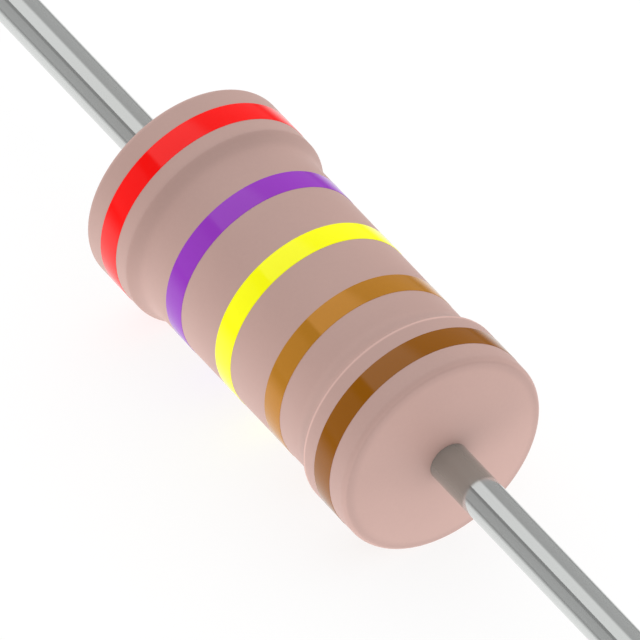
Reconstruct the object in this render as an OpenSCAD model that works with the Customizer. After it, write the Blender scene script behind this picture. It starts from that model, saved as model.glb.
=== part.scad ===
// Axial film resistor with a dog-bone lacquer coat and five colour bands.
// The wire axis lies along X, with the first band towards -X, and the origin is the body's centre.
// Left is the -X end and right is the +X end.

/* [Lead wires] */
// Diameter of the tinned copper wire
lead_d = 0.8; // [0.5:0.05:1.2]
// Free length of each lead, from the coating to the cut end
lead_l = 28; // [6:1:38]
// Chamfer on the cut end of a lead
lead_chamfer = 0.06; // [0.02:0.01:0.12]

/* [Ceramic rod] */
// Diameter of the ceramic rod
rod_d = 3.4; // [2.4:0.1:5]
// Length of the ceramic rod
rod_l = 7.7; // [7:0.1:14]
// Radius on the rod's end edges
rod_edge_r = 0.1; // [0.05:0.01:0.3]

/* [Resistive film] */
// Thickness of the film, far thicker than the real one so that it can be seen
film_t = 0.05; // [0.03:0.01:0.1]
// Width of the helical trimming groove
groove_w = 0.14; // [0.06:0.02:0.3]
// Turns of the trimming groove
groove_turns = 7; // [1:1:9]
// Distance from each end cap's mouth to the end of the groove
groove_margin = 0.6; // [0.3:0.1:1.2]

/* [End caps] */
// Thickness of the steel sheet
cap_t = 0.2; // [0.15:0.01:0.3]
// Length of a cap over its floor
cap_l = 1.15; // [1:0.05:1.6]
// Chamfer inside the cap's mouth, for pressing it on
cap_lead_in = 0.05; // [0.02:0.01:0.1]
// Radius of the flared weld between the cap's floor and the foot of a lead
weld_flare_r = 0.26; // [0.2:0.02:0.32]

/* [Coating] */
// Thickness of the lacquer over the end caps
coat_cap_t = 0.2; // [0.15:0.01:0.35]
// Thickness of the lacquer over the film between the caps
coat_waist_t = 0.22; // [0.1:0.01:0.28]
// Radius of the cove that runs from the waist up to each bulge
cove_r = 0.78; // [0.4:0.02:1.2]
// Radius on the crest of the shoulder
crest_r = 0.06; // [0.02:0.01:0.1]
// Radius on the outer edge of each end face
rim_r = 0.15; // [0.08:0.01:0.2]
// Radius of the gently domed end faces
dome_r = 11; // [8:0.5:20]

/* [Colour bands] */
// Width of each band
band_w = 0.5; // [0.3:0.05:0.7]
// Thickness of the printed ink
band_t = 0.01; // [0.005:0.005:0.03]
// Distance between the centres of neighbouring bands on the waist
band_pitch = 1.63; // [1:0.01:1.8]
// Distance of the first band from the middle of its bulge, towards the waist
first_band_inset = 0.03; // [0:0.01:0.1]

/* [Hidden] */
$fn = 96;
// Steps in each arc of an outline
arc_steps = 10;
// Steps in each turn of the trimming groove
turn_steps = 24;

lead_r = lead_d / 2;
rod_r = rod_d / 2;

// The film covers the rod all over, so the caps' inside has the film's outline
film_r = rod_r + film_t;
film_x = rod_l / 2 + film_t;
film_edge_r = rod_edge_r + film_t;

// Each cap is an even sheet pressed over the film
cap_r = film_r + cap_t;
cap_face_x = film_x + cap_t;
cap_mouth_x = cap_face_x - cap_l;
cap_edge_r = film_edge_r + cap_t;

// The shoulder's crest stands over the cap's mouth, and its cove ends on the waist
waist_r = film_r + coat_waist_t;
bulge_r = cap_r + coat_cap_t;
cove_drop = waist_r + cove_r - (bulge_r - crest_r);
cove_run = sqrt(pow(cove_r + crest_r, 2) - pow(cove_drop, 2));
cove_angle = atan2(cove_run, cove_drop);
cove_x = cap_mouth_x - cove_run;

// The rim's arc runs into the domed end face
rim_x = cap_face_x + coat_cap_t - rim_r;
dome_angle = asin((bulge_r - rim_r) / (dome_r - rim_r));
dome_x = rim_x - (dome_r - rim_r) * cos(dome_angle);

// A lead stands on its weld, and its free length starts where it leaves the domed face
lead_foot_x = cap_face_x + weld_flare_r;
lead_exit_x = dome_x + sqrt(pow(dome_r, 2) - pow(lead_r, 2));
lead_end_x = lead_exit_x + lead_l;

// Middle of the straight part of a bulge, where the outer bands are printed
bulge_mid_x = (cap_mouth_x + rim_x) / 2;

groove_l = 2 * (cap_mouth_x - groove_margin);
groove_steps = groove_turns * turn_steps;
// The groove's cutter reaches past both faces of the film, into half of the lacquer outside it
groove_out_r = film_r + coat_waist_t / 2;
groove_in_r = rod_r - film_t;

// Points along an arc round a centre, where outlines are drawn as [radius, x]
function arc(centre, r, from, to) =
    [for (i = [0:arc_steps]) let (a = from + (to - from) * i / arc_steps) centre + r * [cos(a), sin(a)]];

// A right-hand outline, followed by its mirror image at the left-hand end
function both_ends(right) =
    concat(right, [for (i = [len(right) - 1:-1:0]) [right[i][0], -right[i][1]]]);

// Outline of a bar with rounded end edges
function bar_outline(r, half_l, edge_r) =
    both_ends(concat(arc([r - edge_r, half_l - edge_r], edge_r, 0, 90), [[0, half_l]]));

// Outline of the lacquer's outer surface
function coat_outline() =
    both_ends(concat(
        arc([waist_r + cove_r, cove_x], cove_r, 180, 180 - cove_angle),
        arc([bulge_r - crest_r, cap_mouth_x], crest_r, -cove_angle, 0),
        arc([bulge_r - rim_r, rim_x], rim_r, 0, 90 - dome_angle),
        arc([0, dome_x], dome_r, 90 - dome_angle, 90)));

// Outline of the drawn cup, round the film's own outline, with the flared weld on its floor
function cap_outline() =
    concat(
        [[film_r, cap_mouth_x + cap_lead_in], [film_r + cap_lead_in, cap_mouth_x], [cap_r, cap_mouth_x]],
        arc([cap_r - cap_edge_r, cap_face_x - cap_edge_r], cap_edge_r, 0, 90),
        arc([lead_r + weld_flare_r, lead_foot_x], weld_flare_r, -90, -180),
        [[0, lead_foot_x], [0, film_x]],
        arc([film_r - film_edge_r, film_x - film_edge_r], film_edge_r, 90, 0));

// Outline of a lead, from its foot on the weld to its cut end
function lead_outline() =
    [[0, lead_foot_x], [lead_r, lead_foot_x], [lead_r, lead_end_x - lead_chamfer],
        [lead_r - lead_chamfer, lead_end_x], [0, lead_end_x]];

// Corners of the groove's cutter at one step along the helix
function groove_corners(i) =
    let (a = 360 * groove_turns * i / groove_steps, x = groove_l * (i / groove_steps - 0.5))
    [for (c = [[groove_in_r, -1], [groove_out_r, -1], [groove_out_r, 1], [groove_in_r, 1]])
        [x + c[1] * groove_w / 2, c[0] * cos(a), c[0] * sin(a)]];

// Two triangles for each side of the cutter between two steps
function groove_sides() =
    [for (i = [0:groove_steps - 1], j = [0:3])
        let (a = 4 * i + j, b = 4 * i + (j + 1) % 4)
        each [[a, b, b + 4], [a, b + 4, a + 4]]];

// Turns an outline round the X axis
module turned() {
    rotate([0, 90, 0]) rotate_extrude() children();
}

// The helical slot, as a solid that cuts the film and shapes the lacquer in the cut
module groove() {
    last = 4 * groove_steps;
    polyhedron(
        points = [for (i = [0:groove_steps]) each groove_corners(i)],
        faces = concat([[3, 2, 1, 0]], groove_sides(), [[last, last + 1, last + 2, last + 3]]));
}

// Everything that the lacquer covers, in section
module core_section() {
    polygon(bar_outline(film_r, film_x, film_edge_r));
    for (end = [0, 1]) mirror([0, end]) {
        polygon(cap_outline());
        polygon(lead_outline());
    }
}

module ceramic_rod() {
    color("whitesmoke") turned() polygon(bar_outline(rod_r, rod_l / 2, rod_edge_r));
}

// Metal film all over the rod, cut by a helical groove that sets the resistance
module resistive_film() {
    color("dimgray") difference() {
        turned() difference() {
            polygon(bar_outline(film_r, film_x, film_edge_r));
            polygon(bar_outline(rod_r, rod_l / 2, rod_edge_r));
        }
        groove();
    }
}

// Drawn steel cup, with the weld that carries a lead on its floor
module end_cap() {
    color("silver") turned() polygon(cap_outline());
}

module lead() {
    color("gainsboro") turned() polygon(lead_outline());
}

module end_cap_left() {
    mirror([1, 0, 0]) end_cap();
}

module end_cap_right() {
    end_cap();
}

module lead_left() {
    mirror([1, 0, 0]) lead();
}

module lead_right() {
    lead();
}

// Lacquer over the caps and the film, which also fills the trimming groove
module coating() {
    color([0.75, 0.62, 0.58]) {
        turned() difference() {
            polygon(coat_outline());
            core_section();
        }
        intersection() {
            groove();
            turned() translate([rod_r, -film_x]) square([groove_out_r - rod_r, 2 * film_x]);
        }
    }
}

// A printed ring on a surface of radius r, centred on x
module band(r, x) {
    turned() translate([r, x - band_w / 2]) square([band_t, band_w]);
}

module band_red() {
    color("red") band(bulge_r, first_band_inset - bulge_mid_x);
}

module band_violet() {
    color([0.59, 0.28, 0.73]) band(waist_r, -band_pitch);
}

module band_yellow() {
    color("yellow") band(waist_r, 0);
}

module band_gold() {
    color([0.78, 0.62, 0.33]) band(waist_r, band_pitch);
}

module band_brown() {
    color([0.55, 0.35, 0.11]) band(bulge_r, bulge_mid_x);
}

ceramic_rod();
resistive_film();
end_cap_left();
end_cap_right();
lead_left();
lead_right();
coating();
band_red();
band_violet();
band_yellow();
band_gold();
band_brown();
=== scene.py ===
"""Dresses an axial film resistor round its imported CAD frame.

The wire axis lies along X, with the red band's end at -X and the brown band's end at +X.
Lengths are in metres, like the frame, and the finishes count their grain per millimetre.
"""

import logging
import math
from dataclasses import dataclass, field
from enum import Enum
from typing import Any, Optional, Sequence

import bmesh
import bpy
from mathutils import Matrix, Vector


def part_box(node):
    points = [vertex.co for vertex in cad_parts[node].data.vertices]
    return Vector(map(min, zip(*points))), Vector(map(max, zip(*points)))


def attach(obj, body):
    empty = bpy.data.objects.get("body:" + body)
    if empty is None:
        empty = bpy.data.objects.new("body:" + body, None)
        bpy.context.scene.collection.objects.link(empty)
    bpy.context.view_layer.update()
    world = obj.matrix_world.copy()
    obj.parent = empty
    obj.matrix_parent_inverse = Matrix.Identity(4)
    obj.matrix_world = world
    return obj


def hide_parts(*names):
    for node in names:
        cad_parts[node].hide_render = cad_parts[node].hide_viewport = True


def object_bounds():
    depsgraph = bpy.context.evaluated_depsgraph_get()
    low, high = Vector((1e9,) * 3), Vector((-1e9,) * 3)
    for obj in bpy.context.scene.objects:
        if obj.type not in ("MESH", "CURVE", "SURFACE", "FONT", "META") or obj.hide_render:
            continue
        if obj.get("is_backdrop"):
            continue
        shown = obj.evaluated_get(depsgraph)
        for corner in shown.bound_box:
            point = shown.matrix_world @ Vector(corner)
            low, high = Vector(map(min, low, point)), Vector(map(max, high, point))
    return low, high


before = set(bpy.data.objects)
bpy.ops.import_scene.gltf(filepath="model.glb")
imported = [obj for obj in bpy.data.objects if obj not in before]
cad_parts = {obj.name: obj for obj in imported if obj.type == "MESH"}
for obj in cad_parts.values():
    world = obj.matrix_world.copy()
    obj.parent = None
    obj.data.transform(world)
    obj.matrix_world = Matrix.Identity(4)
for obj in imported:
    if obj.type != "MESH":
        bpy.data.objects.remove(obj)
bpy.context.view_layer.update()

LOG = logging.getLogger("axial_resistor")
MM = 0.001
BODY = "root"
Point = tuple[float, float]
Span = tuple[float, float]
Triple = tuple[float, float, float]
Colour = Triple


def radius_of(node: str) -> float:
    """Gives the radius of a round CAD node, whose mesh has a corner straight below the axis."""
    return -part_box(node)[0][2]


def ink_thickness() -> float:
    """Gives how thick the CAD draws the printed ink."""
    return radius_of("band_red") - radius_of("coating")


def in_radians(low: float, high: float) -> Span:
    """Gives a span of angles that is written in degrees."""
    return math.radians(low), math.radians(high)


class Term:
    """A socket that takes part in Python arithmetic, adding a Math node for each step."""

    def __init__(self, graph: "Graph", socket: Optional[bpy.types.NodeSocket]) -> None:
        """Wraps one output socket.

        Args:
            graph: the graph that the socket belongs to.
            socket: the output to wrap, or None for a node without one.
        """
        self.graph = graph
        self.socket = socket

    def other(self, output: Any) -> "Term":
        """Gives another output of this term's node, by its name or place."""
        return Term(self.graph, self.socket.node.outputs[output])

    def math(self, operation: str, *others: Any) -> "Term":
        """Adds a Math node that starts from this term.

        Args:
            operation: the Math node's operation.
            others: the values or terms that follow this one.

        Returns:
            The node's result.
        """
        inputs = dict(enumerate((self, *others)))
        return self.graph.node("ShaderNodeMath", {"operation": operation}, inputs)

    def _after(self, operation: str, first: Any) -> "Term":
        """Adds a Math node in which this term comes second."""
        return self.graph.node("ShaderNodeMath", {"operation": operation}, {0: first, 1: self})

    def __add__(self, other: Any) -> "Term":
        """Adds a value or a term."""
        return self.math("ADD", other)

    def __radd__(self, other: Any) -> "Term":
        """Adds this term to a value."""
        return self._after("ADD", other)

    def __sub__(self, other: Any) -> "Term":
        """Takes a value or a term away."""
        return self.math("SUBTRACT", other)

    def __rsub__(self, other: Any) -> "Term":
        """Takes this term away from a value."""
        return self._after("SUBTRACT", other)

    def __mul__(self, other: Any) -> "Term":
        """Multiplies by a value or a term."""
        return self.math("MULTIPLY", other)

    def __rmul__(self, other: Any) -> "Term":
        """Multiplies a value by this term."""
        return self._after("MULTIPLY", other)

    def __truediv__(self, other: Any) -> "Term":
        """Divides by a value or a term."""
        return self.math("DIVIDE", other)

    def __rtruediv__(self, other: Any) -> "Term":
        """Divides a value by this term."""
        return self._after("DIVIDE", other)

    def step(self, low: float, high: float) -> "Term":
        """Rises smoothly from 0 to 1 as this term goes from low to high.

        Args:
            low: the value where the rise starts.
            high: the value where it ends.

        Returns:
            A term between 0 and 1.
        """
        return self.graph.node(
            "ShaderNodeMapRange",
            {"interpolation_type": "SMOOTHSTEP"},
            {"Value": self, "From Min": low, "From Max": high},
        )


class Graph:
    """A node tree, with one method that adds any node to it and two for common groups."""

    def __init__(self, tree: bpy.types.NodeTree) -> None:
        """Empties a tree to build it afresh.

        Args:
            tree: a shader, world or geometry tree.
        """
        self.tree = tree
        tree.nodes.clear()

    def node(
        self, kind: str, settings: dict[str, Any], inputs: dict[Any, Any], out: Any = 0
    ) -> Term:
        """Adds a node.

        Args:
            kind: the node's type.
            settings: its properties, which are set before its sockets.
            inputs: values or terms by socket name or place.
            out: the name or place of the output to return.

        Returns:
            That output, or an empty term where the node has none.
        """
        node = self.tree.nodes.new(kind)
        for name, value in settings.items():
            setattr(node, name, value)
        for key, value in inputs.items():
            socket = node.inputs[key]
            if isinstance(value, Term):
                self.tree.links.new(value.socket, socket)
            else:
                socket.default_value = value
        return Term(self, node.outputs[out] if len(node.outputs) else None)

    def place(self, stretch: Triple = (1.0, 1.0, 1.0)) -> Term:
        """Gives a point's place on the piece.

        Args:
            stretch: what each coordinate is multiplied by. Less than 1 draws a pattern out.

        Returns:
            The Object coordinates in millimetres, times the stretch.
        """
        here = self.node("ShaderNodeTexCoord", {}, {}, out="Object")
        per_mm = tuple(s / MM for s in stretch)
        return self.node("ShaderNodeVectorMath", {"operation": "MULTIPLY"}, {0: here, 1: per_mm})

    def multiply(self, a: Any, b: Any, factor: Any = 1.0) -> Term:
        """Multiplies two colours, each of them a term or three numbers.

        Args:
            a: the first colour.
            b: the second colour.
            factor: how much of the second colour takes part, from 0 to 1.

        Returns:
            The product.
        """
        first, second = (c if isinstance(c, Term) else (*c, 1.0) for c in (a, b))
        # The colour sockets share their names with those for numbers and vectors, so they are
        # reached by place.
        return self.node(
            "ShaderNodeMix",
            {"data_type": "RGBA", "blend_type": "MULTIPLY"},
            {0: factor, 6: first, 7: second},
            out=2,
        )


class Pattern(Enum):
    """What one layer of a grain is made of."""

    CLOUDS = "soft noise"
    FLAKES = "flat cells, each in a shade of its own"
    PORES = "cells that are darkest in their middles"


@dataclass(frozen=True)
class Layer:
    """One layer of a grain.

    Its scale counts its features per millimetre, and its detail counts the octaves of a noise.
    A stretch below 1 draws it out.
    """

    scale: float
    detail: float = 3.0
    stretch: Triple = (1.0, 1.0, 1.0)
    pattern: Pattern = Pattern.CLOUDS

    def build(self, graph: Graph) -> Term:
        """Builds the layer.

        Args:
            graph: the material's graph.

        Returns:
            A pattern of about 0 to 1.
        """
        inputs = {"Vector": graph.place(self.stretch), "Scale": self.scale}
        if self.pattern is Pattern.CLOUDS:
            return graph.node("ShaderNodeTexNoise", {}, {**inputs, "Detail": self.detail})
        cells = graph.node("ShaderNodeTexVoronoi", {"feature": "F1"}, inputs)
        if self.pattern is Pattern.PORES:
            return cells
        return graph.node("ShaderNodeSeparateColor", {}, {0: cells.other("Color")})


@dataclass(frozen=True)
class Texture:
    """A grain's layers. Its height is the relief with a share of the fine layer mixed in."""

    wide: Layer
    fine: Layer
    relief: Optional[Layer] = None
    fine_share: float = 0.0

    def build(self, graph: Graph) -> tuple[Term, Term, Term]:
        """Builds the layers.

        Args:
            graph: the material's graph.

        Returns:
            The wide variation, the fine variation and the height, each about 0 to 1. Without a
            relief, the fine layer is the height.
        """
        wide, fine = self.wide.build(graph), self.fine.build(graph)
        height = self.relief.build(graph) if self.relief else fine
        if self.fine_share:
            height = (1.0 - self.fine_share) * height + self.fine_share * fine
        return wide, fine, height


ROLLED = (0.5, 1.0, 1.0)


class Grain(Enum):
    """The texture that breaks up a finish."""

    # Orange peel of a cured lacquer
    PEEL = Texture(Layer(0.55), Layer(14.0, 2.0), Layer(4.5, 1.0), fine_share=0.25)
    # Ink from a roller, drawn out along the axis
    PRINT = Texture(Layer(0.9, 3.0, ROLLED), Layer(18.0, 2.0, ROLLED), Layer(3.0, 1.0, ROLLED))
    # Ink with metal flakes
    FLAKE = Texture(Layer(0.9), Layer(30.0, pattern=Pattern.FLAKES), Layer(3.0, 1.0))
    # Lines of a drawn wire
    DRAWN = Texture(Layer(1.2, 3.0, (0.25, 1.0, 1.0)), Layer(22.0, 2.0, (0.03, 1.0, 1.0)))
    # Pores of a fired ceramic
    FIRED = Texture(Layer(0.8), Layer(12.0), Layer(9.0, pattern=Pattern.PORES))
    # Cloudy thin metal
    SPUTTER = Texture(Layer(0.7), Layer(9.0))


@dataclass(frozen=True)
class Tint:
    """A stretch of the wire axis, in millimetres, along which painted shade or a painted
    highlight is laid over a finish.

    The tint fades at each end, from soft millimetres before it to soft millimetres after it.
    """

    start: float
    end: float
    soft: float
    colour: Colour

    def share(self, x: Term) -> Term:
        """Gives how strong the tint is.

        Args:
            x: the place along the axis, in millimetres.

        Returns:
            A term between 0 and 1.
        """
        rise = x.step(self.start - self.soft, self.start + self.soft)
        return rise * (1.0 - x.step(self.end - self.soft, self.end + self.soft))


@dataclass(frozen=True)
class Finish:
    """A surface finish: its colour, its gloss and the grain that breaks both up."""

    name: str
    colour: Colour
    grain: Grain
    roughness: float
    metallic: float = 0.0
    ior: float = 1.5
    colour_spread: float = 0.05
    roughness_spread: float = 0.05
    bump_mm: float = 0.0005
    # Painted shade and highlights along the axis
    tints: tuple[Tint, ...] = ()

    def _tinted(self, graph: Graph, colour: Term) -> Term:
        """Lays the painted shade and highlights over a colour.

        Args:
            graph: the material's graph.
            colour: the colour without them.

        Returns:
            The colour with them.
        """
        if not self.tints:
            return colour
        x = graph.node("ShaderNodeSeparateXYZ", {}, {0: graph.place()})
        for tint in self.tints:
            colour = graph.multiply(colour, tint.colour, tint.share(x))
        return colour

    def material(self) -> bpy.types.Material:
        """Builds the material.

        Returns:
            The material, under the finish's name.
        """
        material = bpy.data.materials.new(self.name)
        material.use_nodes = True
        graph = Graph(material.node_tree)
        wide, fine, height = self.grain.value.build(graph)
        wide_shade = (wide - 0.5) * (2.0 * self.colour_spread)
        shade = 1.0 + wide_shade + (fine - 0.5) * self.colour_spread
        tone = graph.node("ShaderNodeCombineColor", {}, {0: shade, 1: shade, 2: shade})
        bump = {"Height": height, "Distance": self.bump_mm * MM, "Strength": 1.0}
        shader = graph.node(
            "ShaderNodeBsdfPrincipled",
            {},
            {
                "Base Color": self._tinted(graph, graph.multiply(self.colour, tone)),
                "Roughness": self.roughness + (wide + fine - 1.0) * self.roughness_spread,
                "Metallic": self.metallic,
                "IOR": self.ior,
                "Normal": graph.node("ShaderNodeBump", {}, bump),
            },
        )
        graph.node("ShaderNodeOutputMaterial", {}, {"Surface": shader})
        return material


# Painted highlight: a thin pale line along the right-hand crest only
PAINTED_CREST_HIGHLIGHT = Tint(2.945, 2.985, 0.02, (1.4, 1.4, 1.4))
# Painted shade in both coves
PAINTED_COVE_SHADE = (
    Tint(-2.94, -2.67, 0.1, (0.91, 0.91, 0.91)),
    Tint(2.6, 2.93, 0.12, (0.92, 0.92, 0.92)),
)
# Painted shade in a thin line along the right-hand rim
PAINTED_RIM_SHADE = Tint(4.27, 4.31, 0.015, (0.9, 0.9, 0.9))
# Painted shade on each wire next to the body, which dims the end face's reflection there
PAINTED_FOOT_SHADE_COLOUR = (0.585, 0.61, 0.585)
PAINTED_FOOT_SHADE = (Tint(-5.55, -4.0, 0.04, PAINTED_FOOT_SHADE_COLOUR), Tint(4.0, 5.55, 0.04, PAINTED_FOOT_SHADE_COLOUR))

LACQUER = Finish(
    "dusty_pink_lacquer", (0.467, 0.2985, 0.2625), Grain.PEEL, roughness=0.5,
    bump_mm=0.0006, tints=(PAINTED_CREST_HIGHLIGHT, *PAINTED_COVE_SHADE, PAINTED_RIM_SHADE),
)
CERAMIC = Finish("fired_ceramic", (0.86, 0.85, 0.81), Grain.FIRED, roughness=0.6, bump_mm=0.004)
FILM = Finish("dark_metal_film", (0.3, 0.3, 0.32), Grain.SPUTTER, roughness=0.28, metallic=1.0)
STEEL = Finish("drawn_cap_steel", (0.7, 0.7, 0.68), Grain.DRAWN, roughness=0.25, metallic=1.0)
TIN = Finish(
    "bright_tinned_wire", (0.675, 0.692, 0.68), Grain.DRAWN, roughness=0.07,
    metallic=0.72, colour_spread=0.02, roughness_spread=0.03, bump_mm=0.00008,
    tints=PAINTED_FOOT_SHADE,
)


def ink(name: str, colour: Colour, grain: Grain = Grain.PRINT, metallic: float = 0.0) -> Finish:
    """Gives a glossy printed ink.

    Args:
        name: the material's name.
        colour: the ink's colour.
        grain: how it breaks up.
        metallic: how much of it is metal.

    Returns:
        The finish.
    """
    return Finish(
        name, colour, grain, roughness=0.1, metallic=metallic, ior=1.44,
        colour_spread=0.03, roughness_spread=0.03, bump_mm=0.0002,
    )


def arc(centre: Point, radius: float, start: float, end: float, steps: int = 20) -> list[Point]:
    """Gives points along an arc of an outline, whose points are (radius, x).

    Args:
        centre: the arc's centre.
        radius: its radius.
        start: the angle of its first point, in radians from the radius axis towards x.
        end: the angle of its last point.
        steps: how many chords it has.

    Returns:
        The points in order.
    """
    angles = (start + (end - start) * i / steps for i in range(steps + 1))
    return [(centre[0] + radius * math.cos(a), centre[1] + radius * math.sin(a)) for a in angles]


def both_ends(right: Sequence[Point]) -> list[Point]:
    """Follows a right-hand outline with its mirror image at the left-hand end.

    Args:
        right: the points from the middle outwards.

    Returns:
        The whole outline.
    """
    return [*right, *((r, -x) for r, x in reversed(right))]


class TurningTree:
    """A geometry tree that turns an outline round the wire axis into a closed surface."""

    INPUTS = (
        ("Outline", "NodeSocketGeometry"),
        ("Segments", "NodeSocketInt"),
        ("Merge distance", "NodeSocketFloat"),
        ("Finish", "NodeSocketMaterial"),
    )
    MERGE_DISTANCE = 1e-7
    SHARP_ANGLE = math.radians(32.0)

    def __init__(self) -> None:
        """Builds the tree and its named inputs."""
        self.tree = bpy.data.node_groups.new("turned_surface", "GeometryNodeTree")
        face = self.tree.interface
        for name, kind in self.INPUTS:
            face.new_socket(name, in_out="INPUT", socket_type=kind)
        face.new_socket("Surface", in_out="OUTPUT", socket_type="NodeSocketGeometry")
        graph = Graph(self.tree)
        outline = graph.node("NodeGroupInput", {}, {}, out="Outline")
        segments = outline.other("Segments")
        count = graph.node("GeometryNodeAttributeDomainSize", {}, {0: outline})
        # The grid's points are numbered round the axis first, and then along the outline. Its
        # last row lies on its first in both directions, and merging closes it.
        rows = segments + 1.0
        grid = graph.node(
            "GeometryNodeMeshGrid", {}, {"Vertices X": count + 1.0, "Vertices Y": rows}
        )
        index = graph.node("GeometryNodeInputIndex", {}, {})
        along = (index / rows).math("FLOOR")
        turn = (index - along * rows) / segments * math.tau
        corner = graph.node(
            "GeometryNodeSampleIndex",
            {"data_type": "FLOAT_VECTOR", "domain": "POINT"},
            {
                0: outline,
                "Value": graph.node("GeometryNodeInputPosition", {}, {}),
                "Index": along.math("MODULO", count),
            },
        )
        radius = graph.node("ShaderNodeSeparateXYZ", {}, {0: corner}, out="X")
        x = radius.other("Y")
        place = graph.node(
            "ShaderNodeCombineXYZ",
            {},
            {0: x, 1: radius * turn.math("SINE"), 2: radius * turn.math("COSINE")},
        )
        placed = graph.node("GeometryNodeSetPosition", {}, {0: grid, "Position": place})
        merge = {0: placed, "Distance": outline.other("Merge distance")}
        closed = graph.node("GeometryNodeMergeByDistance", {}, merge)
        smooth = graph.node("GeometryNodeSetShadeSmooth", {}, {0: closed, "Shade Smooth": True})
        real = graph.node("GeometryNodeRealizeInstances", {}, {0: smooth})
        finish = {0: real, "Material": outline.other("Finish")}
        dressed = graph.node("GeometryNodeSetMaterial", {}, finish)
        graph.node("NodeGroupOutput", {}, {0: dressed})

    def _identifier(self, name: str) -> str:
        """Finds the identifier by which a modifier knows a named input.

        Args:
            name: the input's name.

        Returns:
            Its identifier.
        """
        return next(
            s.identifier
            for s in self.tree.interface.items_tree
            if s.item_type == "SOCKET" and s.in_out == "INPUT" and s.name == name
        )

    def turn(
        self, name: str, outline: Sequence[Point], material: bpy.types.Material, segments: int
    ) -> bpy.types.Object:
        """Turns a closed outline round the wire axis.

        Args:
            name: the piece's name.
            outline: its points as (radius, x), in metres.
            material: the finish that it gets.
            segments: how many faces go round the axis.

        Returns:
            The piece as a plain mesh object at the origin.
        """
        source = bpy.data.meshes.new(name + "_outline")
        source.from_pydata([(r, x, 0.0) for r, x in outline], [], [])
        piece = bpy.data.objects.new(name, source)
        bpy.context.scene.collection.objects.link(piece)
        modifier = piece.modifiers.new("turned", "NODES")
        modifier.node_group = self.tree
        modifier[self._identifier("Segments")] = segments
        modifier[self._identifier("Merge distance")] = self.MERGE_DISTANCE
        modifier[self._identifier("Finish")] = material
        depsgraph = bpy.context.evaluated_depsgraph_get()
        mesh = bpy.data.meshes.new_from_object(piece.evaluated_get(depsgraph))
        piece.modifiers.clear()
        piece.data = mesh
        mesh.name = name
        bpy.data.meshes.remove(source)
        self._turn_outwards(mesh)
        mesh.set_sharp_from_angle(angle=self.SHARP_ANGLE)
        return piece

    @staticmethod
    def _turn_outwards(mesh: bpy.types.Mesh) -> None:
        """Makes every face of a closed mesh point outwards.

        Args:
            mesh: the mesh to mend.
        """
        shape = bmesh.new()
        shape.from_mesh(mesh)
        bmesh.ops.recalc_face_normals(shape, faces=shape.faces)
        if shape.calc_volume(signed=True) < 0.0:
            bmesh.ops.reverse_faces(shape, faces=shape.faces)
        shape.to_mesh(mesh)
        shape.free()


@dataclass
class LacquerCoat:
    """The dog-bone lacquer body, hollow round the film, the caps, their welds and the wires."""

    tree: TurningTree
    cove_radius: float = 0.78 * MM
    crest_radius: float = 0.06 * MM
    rim_radius: float = 0.15 * MM
    dome_radius: float = 11.0 * MM
    cap_corner: float = 0.35 * MM
    weld_flare: float = 0.26 * MM
    inside_steps: int = 8
    segments: int = 256
    bulge: float = field(init=False)
    waist: float = field(init=False)
    film: float = field(init=False)
    cap: float = field(init=False)
    wire: float = field(init=False)
    mouth_x: float = field(init=False)
    foot_x: float = field(init=False)
    exit_x: float = field(init=False)

    def __post_init__(self) -> None:
        """Reads the sizes that the frame gives."""
        self.bulge = radius_of("coating")
        self.waist = radius_of("band_yellow") - ink_thickness()
        self.film = radius_of("resistive_film")
        self.cap = radius_of("end_cap_right")
        self.wire = radius_of("lead_right")
        self.mouth_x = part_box("end_cap_right")[0][0]
        self.foot_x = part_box("lead_right")[0][0]
        self.exit_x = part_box("coating")[1][0]

    def _outside(self) -> list[Point]:
        """Gives the right-hand half of the outer outline, from the waist to the wire.

        Returns:
            The points as (radius, x).
        """
        crest = (self.bulge - self.crest_radius, self.mouth_x)
        drop = self.waist + self.cove_radius - crest[0]
        run = math.sqrt((self.cove_radius + self.crest_radius) ** 2 - drop**2)
        slope = math.atan2(run, drop)
        cove = (self.waist + self.cove_radius, self.mouth_x - run)
        exit_angle = math.acos(self.wire / self.dome_radius)
        dome_x = self.exit_x - self.dome_radius * math.sin(exit_angle)
        rim_reach = self.bulge - self.rim_radius
        dome_angle = math.acos(rim_reach / (self.dome_radius - self.rim_radius))
        rim_x = dome_x + (self.dome_radius - self.rim_radius) * math.sin(dome_angle)
        return [
            *arc(cove, self.cove_radius, math.pi, math.pi - slope),
            *arc(crest, self.crest_radius, -slope, 0.0)[1:],
            *arc((rim_reach, rim_x), self.rim_radius, 0.0, dome_angle),
            *arc((0.0, dome_x), self.dome_radius, dome_angle, exit_angle)[1:],
        ]

    def _inside(self) -> list[Point]:
        """Gives the right-hand half of the hollow, from the film to the wire.

        Returns:
            The points as (radius, x).
        """
        face_x = self.foot_x - self.weld_flare
        corner = (self.cap - self.cap_corner, face_x - self.cap_corner)
        flare = (self.wire + self.weld_flare, self.foot_x)
        return [
            (self.film, self.mouth_x),
            (self.cap, self.mouth_x),
            *arc(corner, self.cap_corner, 0.0, math.pi / 2, self.inside_steps),
            *arc(flare, self.weld_flare, -math.pi / 2, -math.pi, self.inside_steps),
        ]

    def build(self) -> bpy.types.Object:
        """Builds the coat and puts it in the CAD coating's place.

        Returns:
            The piece.
        """
        outside, inside = self._outside(), self._inside()
        section = both_ends([*outside, *reversed(inside)])
        piece = self.tree.turn("lacquer_coat", section, LACQUER.material(), self.segments)
        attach(piece, BODY)
        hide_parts("coating")
        return piece


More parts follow.
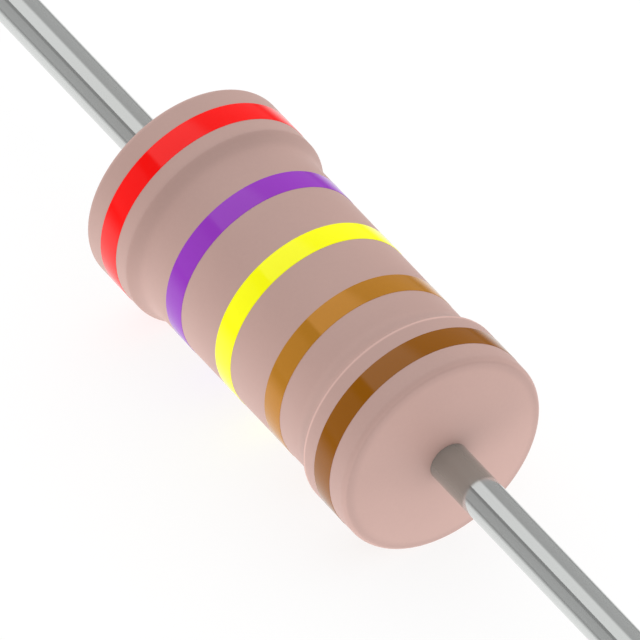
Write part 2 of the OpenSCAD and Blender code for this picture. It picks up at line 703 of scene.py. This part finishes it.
@dataclass
class ColourBands:
    """The five printed rings, which stand less proud than the CAD's thicker stand-ins."""

    tree: TurningTree
    height: float = 0.005 * MM
    edge_share: float = 0.45
    edge_steps: int = 5
    segments: int = 256
    inks: dict[str, Finish] = field(
        default_factory=lambda: {
            "red": ink("red_ink", (0.9, 0.003, 0.002)),
            "violet": ink("violet_ink", (0.28, 0.038, 0.475)),
            "yellow": ink("yellow_ink", (0.93, 0.93, 0.004)),
            "gold": ink("gold_ink", (0.49, 0.205, 0.018), Grain.FLAKE, 0.2),
            "brown": ink("brown_ink", (0.25, 0.082, 0.001)),
        }
    )

    def _outline(self, node: str) -> list[Point]:
        """Gives a ring's section, with its outer edges rounded as wet ink leaves them.

        Args:
            node: the CAD band that the ring stands for.

        Returns:
            The points as (radius, x).
        """
        low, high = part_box(node)
        edge = self.height * self.edge_share
        inner = radius_of(node) - ink_thickness()
        shoulder = inner + self.height - edge
        return [
            (inner, low[0]),
            *arc((shoulder, low[0] + edge), edge, -math.pi / 2, 0.0, self.edge_steps),
            *arc((shoulder, high[0] - edge), edge, 0.0, math.pi / 2, self.edge_steps),
            (inner, high[0]),
        ]

    def build(self) -> list[bpy.types.Object]:
        """Builds the rings and puts them in the CAD bands' places.

        Returns:
            The pieces.
        """
        pieces = []
        for name, finish in self.inks.items():
            node = "band_" + name
            piece = self.tree.turn(
                "ink_ring_" + name, self._outline(node), finish.material(), self.segments
            )
            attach(piece, BODY)
            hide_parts(node)
            pieces.append(piece)
        return pieces


@dataclass
class Leads:
    """The two tinned wires, from their feet on the caps to their cut ends."""

    tree: TurningTree
    chamfer: float = 0.06 * MM
    chamfer_steps: int = 6
    segments: int = 96

    def _outline(self, node: str) -> list[Point]:
        """Gives a wire's section, as if it were the right-hand one.

        Args:
            node: the CAD lead that the wire stands for.

        Returns:
            The points as (radius, x).
        """
        foot, end = sorted(abs(corner[0]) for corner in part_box(node))
        radius = radius_of(node)
        cut = (radius - self.chamfer, end - self.chamfer)
        return [
            (0.0, foot),
            (radius, foot),
            *arc(cut, self.chamfer, 0.0, math.pi / 2, self.chamfer_steps),
            (0.0, end),
        ]

    def build(self) -> list[bpy.types.Object]:
        """Builds the wires and puts them in the CAD leads' places.

        Returns:
            The pieces.
        """
        tin = TIN.material()
        pieces = []
        for node, side in (("lead_left", -1.0), ("lead_right", 1.0)):
            section = [(r, side * x) for r, x in self._outline(node)]
            piece = self.tree.turn(node.replace("lead", "wire"), section, tin, self.segments)
            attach(piece, BODY)
            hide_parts(node)
            pieces.append(piece)
        return pieces


@dataclass
class Core:
    """The pieces under the lacquer, which keep their CAD shapes."""

    finishes: dict[str, Finish] = field(
        default_factory=lambda: {
            "ceramic_rod": CERAMIC,
            "resistive_film": FILM,
            "end_cap_left": STEEL,
            "end_cap_right": STEEL,
        }
    )

    def dress(self) -> list[bpy.types.Object]:
        """Gives each CAD node its finish.

        Returns:
            The nodes that were dressed.
        """
        made = {finish: finish.material() for finish in dict.fromkeys(self.finishes.values())}
        for node, finish in self.finishes.items():
            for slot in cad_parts[node].material_slots:
                slot.material = made[finish]
        return [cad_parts[node] for node in self.finishes]


@dataclass
class Studio:
    """The pale floor, the soft light and the camera at the photograph's angle.

    The body's middle is shown at body_px, in a square picture that is frame_px wide. Levels are
    brightnesses, where 1 is white. The glow_share of the floor glows, at floor_level for the
    camera and at glow_level for the object, and the rest is paper that takes the shadow. Each
    rise or fall is the span over which a part of the room fades in or out: an angle round the
    wire axis for the panel and the rail, the direction's part upwards for the skirt and the
    table, and its part along the axis for the far ends.
    """

    azimuth: float = math.radians(56.7)
    elevation: float = math.radians(43.65)
    px_per_mm: float = 55.0
    frame_px: float = 640.0
    body_px: Point = (313.5, 319.3)
    camera_distance: float = 0.12
    clip: Span = (0.001, 10.0)
    floor_half: float = 0.6
    paper_level: float = 0.9
    floor_level: float = 1.03
    glow_level: float = 2.13
    glow_share: float = 0.8
    sky_level: float = 1.0
    sky_tilt: Triple = (-0.495, 0.4, 0.09)
    sky_skew: float = -0.19
    sky_lobe: float = 0.4
    lobe_power: float = 4.0
    wall_level: float = 0.265
    panel_level: float = 0.855
    panel_rise: Span = in_radians(-36.0, -34.0)
    panel_fall: Span = in_radians(11.0, 28.0)
    rail_level: float = 0.06
    rail_rise: Span = in_radians(-55.0, -47.0)
    skirt_level: float = 0.1
    skirt_fall: Span = (-0.17, -0.08)
    table_level: float = 0.87
    table_fall: Span = (-0.5, -0.15)
    far_level: float = 0.5
    far_rise: Span = (0.7, 0.92)

    def _axes(self) -> tuple[Vector, Vector, Vector]:
        """Works out how the camera stands.

        Returns:
            Its right, up and backward directions.
        """
        a, e = self.azimuth, self.elevation
        right = Vector((math.cos(a), math.sin(a), 0.0))
        back = Vector((math.sin(a) * math.cos(e), -math.cos(a) * math.cos(e), math.sin(e)))
        return right, back.cross(right), back

    def camera(self) -> bpy.types.Object:
        """Places the camera so that the body lies where the photograph shows it.

        Returns:
            The camera.
        """
        right, up, back = self._axes()
        mm_per_px = MM / self.px_per_mm
        middle = self.frame_px / 2
        shift = right * (middle - self.body_px[0]) - up * (middle - self.body_px[1])
        lens = bpy.data.cameras.new("camera")
        lens.type = "ORTHO"
        lens.ortho_scale = self.frame_px * mm_per_px
        lens.clip_start, lens.clip_end = self.clip
        camera = bpy.data.objects.new("camera", lens)
        camera.location = back * self.camera_distance + shift * mm_per_px
        camera.rotation_euler = (math.pi / 2 - self.elevation, 0.0, self.azimuth)
        bpy.context.scene.collection.objects.link(camera)
        bpy.context.scene.camera = camera
        return camera

    @staticmethod
    def _shown(graph: Graph) -> Term:
        """Picks out the rays that show the white background itself, also through glass.

        Args:
            graph: the floor's or the world's graph.

        Returns:
            1 for those rays, and 0 for all others.
        """
        camera = graph.node("ShaderNodeLightPath", {}, {}, out="Is Camera Ray")
        return camera.math("MAXIMUM", camera.other("Is Transmission Ray"))

    def floor(self) -> bpy.types.Object:
        """Lays the floor under the bands that the body rests on.

        Returns:
            The floor.
        """
        size, z = self.floor_half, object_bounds()[0][2]
        mesh = bpy.data.meshes.new("floor")
        corners = [(-size, -size, z), (size, -size, z), (size, size, z), (-size, size, z)]
        mesh.from_pydata(corners, [], [(0, 1, 2, 3)])
        floor = bpy.data.objects.new("floor", mesh)
        bpy.context.scene.collection.objects.link(floor)
        material = bpy.data.materials.new("pale_floor")
        material.use_nodes = True
        graph = Graph(material.node_tree)
        grey = (self.paper_level, self.paper_level, self.paper_level, 1.0)
        paper = graph.node("ShaderNodeBsdfDiffuse", {}, {"Color": grey})
        level = self.glow_level + self._shown(graph) * (self.floor_level - self.glow_level)
        glow = graph.node("ShaderNodeEmission", {}, {"Strength": level})
        shader = graph.node("ShaderNodeMixShader", {}, {0: self.glow_share, 1: paper, 2: glow})
        graph.node("ShaderNodeOutputMaterial", {}, {"Surface": shader})
        mesh.materials.append(material)
        floor.visible_glossy = False
        floor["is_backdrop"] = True
        return floor

    def _room(self, x: Term, y: Term, z: Term) -> Term:
        """Builds the studio that gloss and metal reflect.

        Args:
            x: the direction's part along the wire axis.
            y: its part across the wire axis, level with the floor.
            z: its part upwards.

        Returns:
            The studio's brightness in that direction.
        """
        lean = y.math("ARCTAN2", z)
        edge = lean.step(*self.panel_rise)
        panel = edge * (1.0 - lean.step(*self.panel_fall))
        rail = lean.step(*self.rail_rise) * (1.0 - edge)
        room = self.wall_level + panel * (self.panel_level - self.wall_level)
        room = room + rail * (self.rail_level - self.wall_level)
        skirt = 1.0 - z.step(*self.skirt_fall)
        room = room + skirt * (self.skirt_level - room)
        table = 1.0 - z.step(*self.table_fall)
        room = room + table * (self.table_level - room)
        far = x.math("ABSOLUTE").step(*self.far_rise)
        return room + far * (self.far_level - room)

    def _sky(self, x: Term, y: Term, z: Term) -> Term:
        """Builds the soft dome that lights the object.

        Its brightness changes evenly along each axis and with x times z, and a lobe adds to it
        towards +X.

        Args:
            x: the direction's part along the wire axis.
            y: its part across the wire axis, level with the floor.
            z: its part upwards.

        Returns:
            The dome's brightness in that direction.
        """
        along, across, upwards = self.sky_tilt
        sky = self.sky_level + x * along + y * across + z * upwards + x * z * self.sky_skew
        lobe = x.math("MAXIMUM", 0.0).math("POWER", self.lobe_power)
        return (sky + lobe * self.sky_lobe).math("MAXIMUM", 0.0)

    def world(self) -> None:
        """Lights the object with a soft dome, and gives metal a studio to reflect."""
        world = bpy.data.worlds.new("studio")
        world.use_nodes = True
        world.cycles.sampling_method = "NONE"
        bpy.context.scene.world = world
        graph = Graph(world.node_tree)
        here = graph.node("ShaderNodeTexCoord", {}, {}, out="Generated")
        x = graph.node("ShaderNodeSeparateXYZ", {}, {0: here}, out="X")
        direction = (x, x.other("Y"), x.other("Z"))
        sky = self._sky(*direction)
        glossy = graph.node("ShaderNodeLightPath", {}, {}, out="Is Glossy Ray")
        level = sky + glossy * (self._room(*direction) - sky)
        level = level + self._shown(graph) * (1.0 - level)
        white = (1.0, 1.0, 1.0, 1.0)
        light = graph.node("ShaderNodeBackground", {}, {"Color": white, "Strength": level})
        graph.node("ShaderNodeOutputWorld", {}, {"Surface": light})

    def build(self) -> None:
        """Sets up the camera, the floor and the world."""
        bpy.context.scene.view_settings.view_transform = "Standard"
        self.camera()
        self.floor()
        self.world()


def main() -> None:
    """Builds every sub-assembly in order and reports its pieces."""
    logging.basicConfig(level=logging.INFO, format="%(message)s")
    tree = TurningTree()
    pieces = [
        LacquerCoat(tree).build(),
        *ColourBands(tree).build(),
        *Leads(tree).build(),
        *Core().dress(),
    ]
    for piece in pieces:
        LOG.info("%s: %d faces", piece.name, len(piece.data.polygons))
    Studio().build()


if __name__ == "__main__":
    main()
